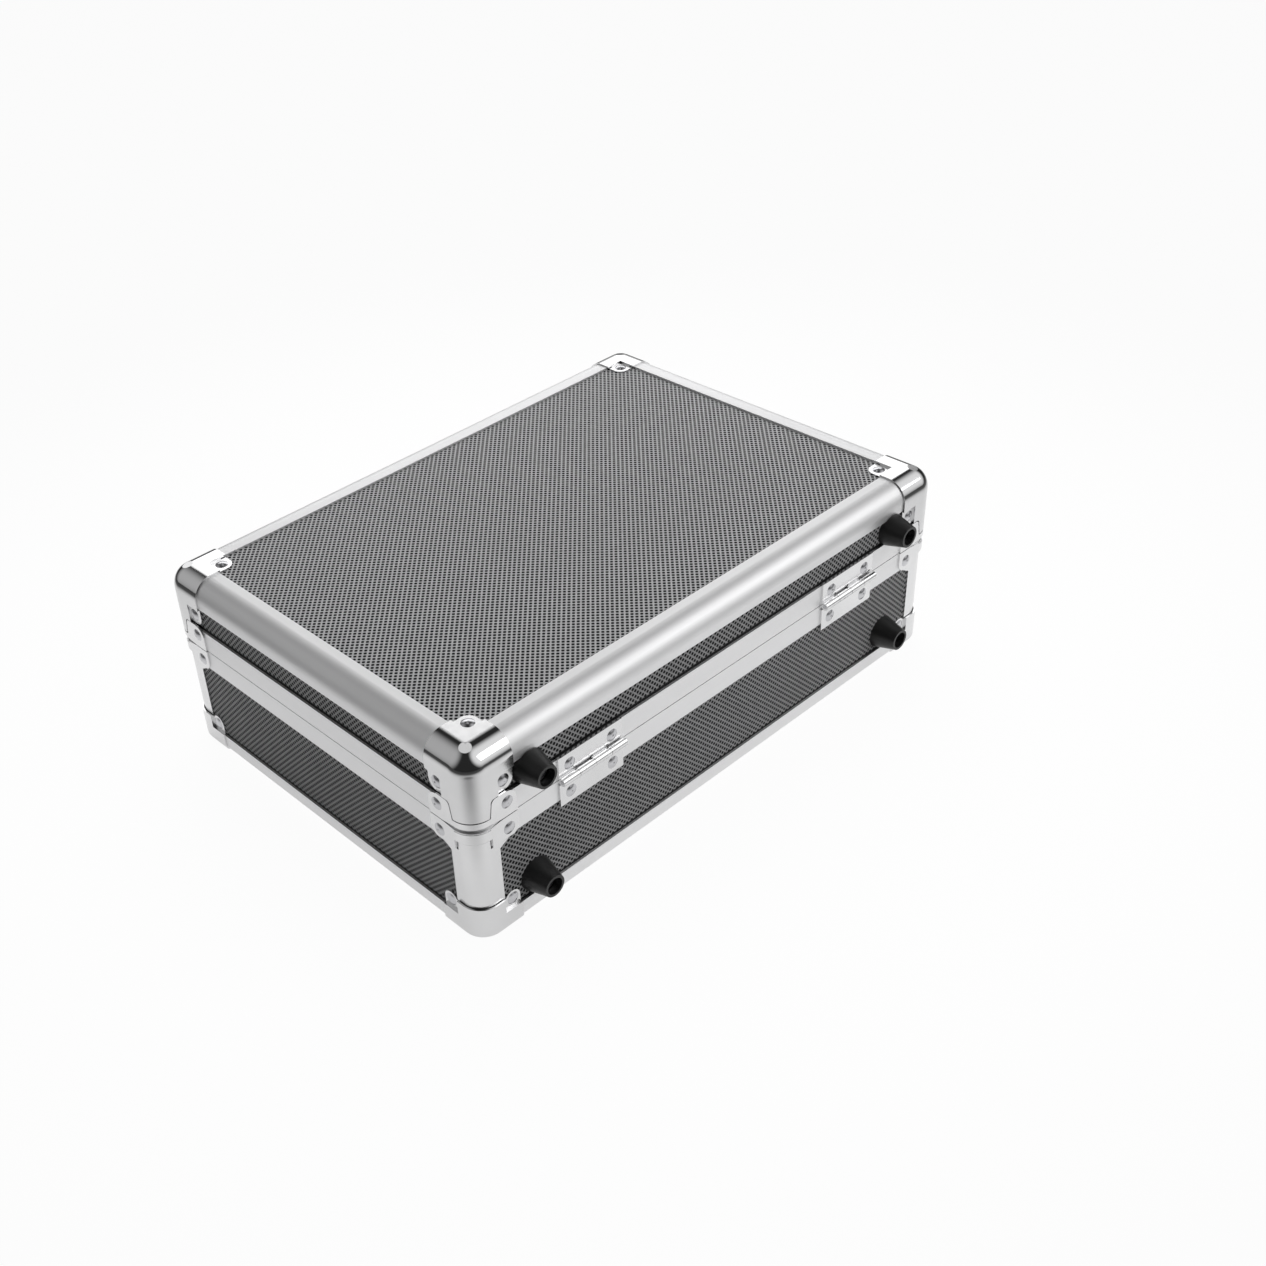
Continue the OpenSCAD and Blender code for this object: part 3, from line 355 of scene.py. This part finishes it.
dress(flat_sheet, "lid_top", "base_floor")
dress(end_sheet, *sided("lid_panel", *ENDS), *sided("base_panel", *ENDS))
dress(side_sheet, *sided("lid_panel", *SIDES), *sided("base_panel", *SIDES))
dress(long_profile, *sided("lid_edge", *ENDS), "base_edge", "base_rim", "lid_rim")
dress(short_profile, *sided("lid_edge", *SIDES))
dress(plating, *sided("base_post", *CORNERS), "base_corners", "lid_rim_corners",
      *sided("hinge_lower", *SIDES), *sided("hinge_upper", *SIDES),
      *sided("latch_plate", *SIDES), *sided("latch_lever", *SIDES),
      *sided("latch_hook", *SIDES), *sided("latch_keeper", *SIDES),
      *sided("handle_bracket", *SIDES))
dress(corner_plating, *sided("lid_corner", *CORNERS))
dress(rivet_plating, "base_rivets", "lid_rivets")
dress(screw_steel, "base_foot_screws", "lid_foot_screws", "hinge_pins", "latch_pivot_pins",
      "handle_pins", *sided("hook_pin", *SIDES), *sided("lock_plug", *SIDES))
dress(foot_rubber, *sided("base_foot", *SIDES), *sided("lid_foot", *SIDES))
dress(handle_plastic, "handle")


# Padded lining: a floor pad and four wall pads in the base, and the same in the lid

def steps(low, high, count):
    """Places from low to high, closer together at both ends where the pad is rounded."""
    start = [low + PAD_ROUND * s for s in ROUND_STEPS]
    end = [high - PAD_ROUND * s for s in reversed(ROUND_STEPS)]
    span = (end[0] - start[-1]) / count
    return start + [start[-1] + span * i for i in range(1, count)] + end


def pad(name, low, high, face, body):
    """A soft panel between two corners; the side named by face is crowned."""
    axis, outward = face
    flat = [i for i in range(3) if i != axis]
    us, vs = [steps(low[i], high[i], count) for i, count in zip(flat, PAD_STEPS)]
    made = bmesh.new()

    def point(u, v, front):
        """Where the surface stands over a place in the panel's plane."""
        edge = 1.0
        for at, ends in ((u, (us[0], us[-1])), (v, (vs[0], vs[-1]))):
            inside = min(at - ends[0], ends[1] - at)
            if inside < PAD_ROUND:
                edge = min(edge, math.sqrt(max(0.0, 1 - (1 - inside / PAD_ROUND) ** 2)))
        share_u = (u - us[0]) / (us[-1] - us[0])
        share_v = (v - vs[0]) / (vs[-1] - vs[0])
        crown = PAD_CROWN
        for share in (share_u, share_v):
            crown *= 1 - (2 * share - 1) ** CROWN_POWER
        depth = high[axis] - low[axis]
        rise = (depth - PAD_CROWN - PAD_ROUND) + PAD_ROUND * edge + crown if front else 0.0
        place = [0.0, 0.0, 0.0]
        place[flat[0]], place[flat[1]] = u, v
        place[axis] = low[axis] + rise if outward > 0 else high[axis] - rise
        return place

    grids = []
    for front in (True, False):
        grids.append([[made.verts.new(point(u, v, front)) for v in vs] for u in us])
    for grid in grids:
        for i in range(len(us) - 1):
            for j in range(len(vs) - 1):
                made.faces.new((grid[i][j], grid[i + 1][j], grid[i + 1][j + 1], grid[i][j + 1]))
    top, under = grids
    rim = [(i, 0) for i in range(len(us))] + [(len(us) - 1, j) for j in range(1, len(vs))]
    rim += [(i, len(vs) - 1) for i in range(len(us) - 2, -1, -1)]
    rim += [(0, j) for j in range(len(vs) - 2, 0, -1)]
    for a, b in zip(rim, rim[1:] + rim[:1]):
        made.faces.new((top[a[0]][a[1]], top[b[0]][b[1]], under[b[0]][b[1]], under[a[0]][a[1]]))
    bmesh.ops.recalc_face_normals(made, faces=made.faces)
    mesh = bpy.data.meshes.new(name)
    made.to_mesh(mesh)
    made.free()
    mesh.shade_smooth()
    mesh.materials.append(lining_cloth)
    piece = bpy.data.objects.new(name, mesh)
    bpy.context.scene.collection.objects.link(piece)
    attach(piece, body)
    return piece


def line_tray(node, body, up):
    """Five pads in the space of a lining, open on the side that up points to."""
    low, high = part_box(node)
    t = PAD_T
    if up > 0:
        floor_z = (low.z, low.z + t)
        wall_z = (low.z + t + PAD_GAP, high.z)
    else:
        floor_z = (high.z - t, high.z)
        wall_z = (low.z, high.z - t - PAD_GAP)
    floor = pad(f"{body}_pad_floor", (low.x, low.y, floor_z[0]), (high.x, high.y, floor_z[1]),
                (2, up), body)
    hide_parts(node)
    for name, x0, x1, inward in (("left", low.x, low.x + t, 1), ("right", high.x - t, high.x, -1)):
        pad(f"{body}_pad_{name}", (x0, low.y + t + PAD_GAP, wall_z[0]),
            (x1, high.y - t - PAD_GAP, wall_z[1]), (0, inward), body)
    for name, y0, y1, inward in (("front", low.y, low.y + t, 1), ("back", high.y - t, high.y, -1)):
        pad(f"{body}_pad_{name}", (low.x, y0, wall_z[0]), (high.x, y1, wall_z[1]),
            (1, inward), body)


line_tray("base_lining", "base", 1)
line_tray("lid_lining", "lid", -1)


# Studio: white floor, a dim room with patches of light, soft boxes and the camera (metres)

FLOOR_HALF = 4.0
FLOOR_SEEN = 0.96
FLOOR_MIRRORED = 0.60

# The lit paper round the case, and the dark patch before it that only the metal mirrors
PAPER_MIDDLE = (-0.02, 0.0, 0.0)
PAPER_NEAR = 0.20
PAPER_FAR = 0.62
PAPER_SHADE = (0.86, 0.86, 0.86)
BEYOND_SHADE = (0.10, 0.10, 0.10)
DARK_MIDDLE = (0.258, 0.228, 0.0)
DARK_NEAR = 0.02
DARK_FAR = 0.13
DARK_SHARE = 0.85

# The room's own light, and patches of it: direction, cosines at edge and heart, strength
ROOM_SHADE = 0.03
GLOWS = (
    ((-0.52, 0.62, 0.60), 0.68, 0.93, 1.10),
    ((0.62, -0.62, 0.50), 0.66, 1.0, 0.58),
    ((-0.60, -0.62, 0.36), 0.87, 0.95, 0.85),
)

# Name, direction, distance, width, height, power, and whether metal mirrors it
SOFT_BOXES = (
    ("soft_box_far", (-0.52, -0.62, 0.44), 1.8, 2.2, 0.95, 7, True),
    ("soft_box_left", (-0.52, 0.66, 0.56), 1.7, 0.9, 0.7, 3.6, True),
    ("soft_box_top", (-0.16, -0.31, 0.93), 1.7, 0.40, 0.40, 0.4, True),
    ("fill_overhead", (-0.35, -0.40, 1.0), 1.2, 1.2, 1.2, 11.6, False),
)
LAMP_LIFT = Vector((0, 0, 0.05))

# The photo's camera
CAMERA_PLACE = Vector((0.452117, 0.501083, 0.508901))
CAMERA_RIGHT = Vector((-0.734198, 0.675654, -0.066670))
CAMERA_DOWN = Vector((0.440697, 0.399567, -0.803824))
CAMERA_AHEAD = Vector((-0.516467, -0.619547, -0.591120))
LENS = 44.782
SENSOR = 36
CLIP = (0.01, 50)
SHIFT = (0.09558, 0.02212)


def studio_floor():
    """White paper that keeps the case's shadow and that the metal mirrors less brightly."""
    made = bmesh.new()
    bmesh.ops.create_grid(made, x_segments=1, y_segments=1, size=FLOOR_HALF)
    mesh = bpy.data.meshes.new("studio_floor")
    made.to_mesh(mesh)
    made.free()
    floor = bpy.data.objects.new("studio_floor", mesh)
    floor.location.z = cad_box[0].z
    bpy.context.scene.collection.objects.link(floor)
    finish = Finish("studio_floor")
    where = finish.add("ShaderNodeTexCoord").outputs["Object"]
    away = finish.add("ShaderNodeVectorMath", {0: where, 1: PAPER_MIDDLE},
                      operation="DISTANCE").outputs["Value"]
    paper = finish.ramp(away, PAPER_NEAR, PAPER_FAR, 1.0, 0.0)
    shade = finish.blend(paper, BEYOND_SHADE, PAPER_SHADE)
    finish.surface(Base_Color=shade, Roughness=0.9, Specular_IOR_Level=0.0)
    glow = finish.add("ShaderNodeEmission", {"Color": (1, 1, 1)})
    path = finish.add("ShaderNodeLightPath").outputs
    seen = finish.maths("MULTIPLY", path["Is Camera Ray"], FLOOR_SEEN)
    to_dark = finish.add("ShaderNodeVectorMath", {0: where, 1: DARK_MIDDLE},
                         operation="DISTANCE").outputs["Value"]
    dark = finish.ramp(to_dark, DARK_NEAR, DARK_FAR, DARK_SHARE, 0.0)
    left_light = finish.maths("SUBTRACT", 1.0, dark)
    finish.set(glow.inputs["Strength"],
               finish.maths("MAXIMUM", path["Is Camera Ray"], left_light))
    shown = finish.maths("MAXIMUM", finish.maths("MULTIPLY", paper, FLOOR_MIRRORED), dark)
    mirrored = finish.maths("MULTIPLY", path["Is Glossy Ray"], shown)
    share = finish.maths("ADD", seen, mirrored)
    mix = finish.add("ShaderNodeMixShader", {0: share, 1: finish.shader.outputs[0],
                                             2: glow.outputs[0]})
    finish.set(finish.tree.nodes["Material Output"].inputs["Surface"], mix.outputs[0])
    mesh.materials.append(finish.material)


def surroundings():
    """White to the camera; to everything else a dim room with broad patches of soft light."""
    world = bpy.data.worlds.new("studio")
    bpy.context.scene.world = world
    world.use_nodes = True
    world.node_tree.nodes.clear()
    room = Wiring(world.node_tree)
    direction = room.add("ShaderNodeTexCoord").outputs["Generated"]
    total = ROOM_SHADE
    for toward, edge, heart, strength in GLOWS:
        facing = room.add("ShaderNodeVectorMath", {0: direction, 1: Vector(toward).normalized()},
                          operation="DOT_PRODUCT").outputs["Value"]
        total = room.maths("ADD", total, room.ramp(facing, edge, heart, 0.0, strength))
    light = room.add("ShaderNodeBackground", {"Strength": total})
    white = room.add("ShaderNodeBackground", {"Color": (1, 1, 1)})
    seen = room.add("ShaderNodeLightPath").outputs["Is Camera Ray"]
    mix = room.add("ShaderNodeMixShader", {0: seen, 1: light.outputs[0], 2: white.outputs[0]})
    room.add("ShaderNodeOutputWorld", {"Surface": mix.outputs[0]})


def soft_box(name, direction, distance, width, height, power, mirrored):
    """A lamp that faces the case from that direction."""
    lamp = bpy.data.lights.new(name, "AREA")
    lamp.shape = "RECTANGLE"
    lamp.size, lamp.size_y = width, height
    lamp.energy = power
    stand = bpy.data.objects.new(name, lamp)
    out = Vector(direction).normalized()
    stand.location = out * distance + LAMP_LIFT
    stand.rotation_euler = out.to_track_quat("Z", "Y").to_euler()
    stand.visible_glossy = mirrored
    bpy.context.scene.collection.objects.link(stand)


def camera():
    """The camera at the photo's place, turn and framing."""
    seen = bpy.data.cameras.new("camera")
    seen.lens = LENS
    seen.sensor_width = SENSOR
    seen.shift_x, seen.shift_y = SHIFT
    seen.clip_start, seen.clip_end = CLIP
    stand = bpy.data.objects.new("camera", seen)
    turn = Matrix((CAMERA_RIGHT, -CAMERA_DOWN, -CAMERA_AHEAD)).transposed().to_4x4()
    stand.matrix_world = Matrix.Translation(CAMERA_PLACE) @ turn
    bpy.context.scene.collection.objects.link(stand)
    bpy.context.scene.camera = stand


studio_floor()
surroundings()
for box in SOFT_BOXES:
    soft_box(*box)
camera()
bpy.context.scene.view_settings.view_transform = "Standard"
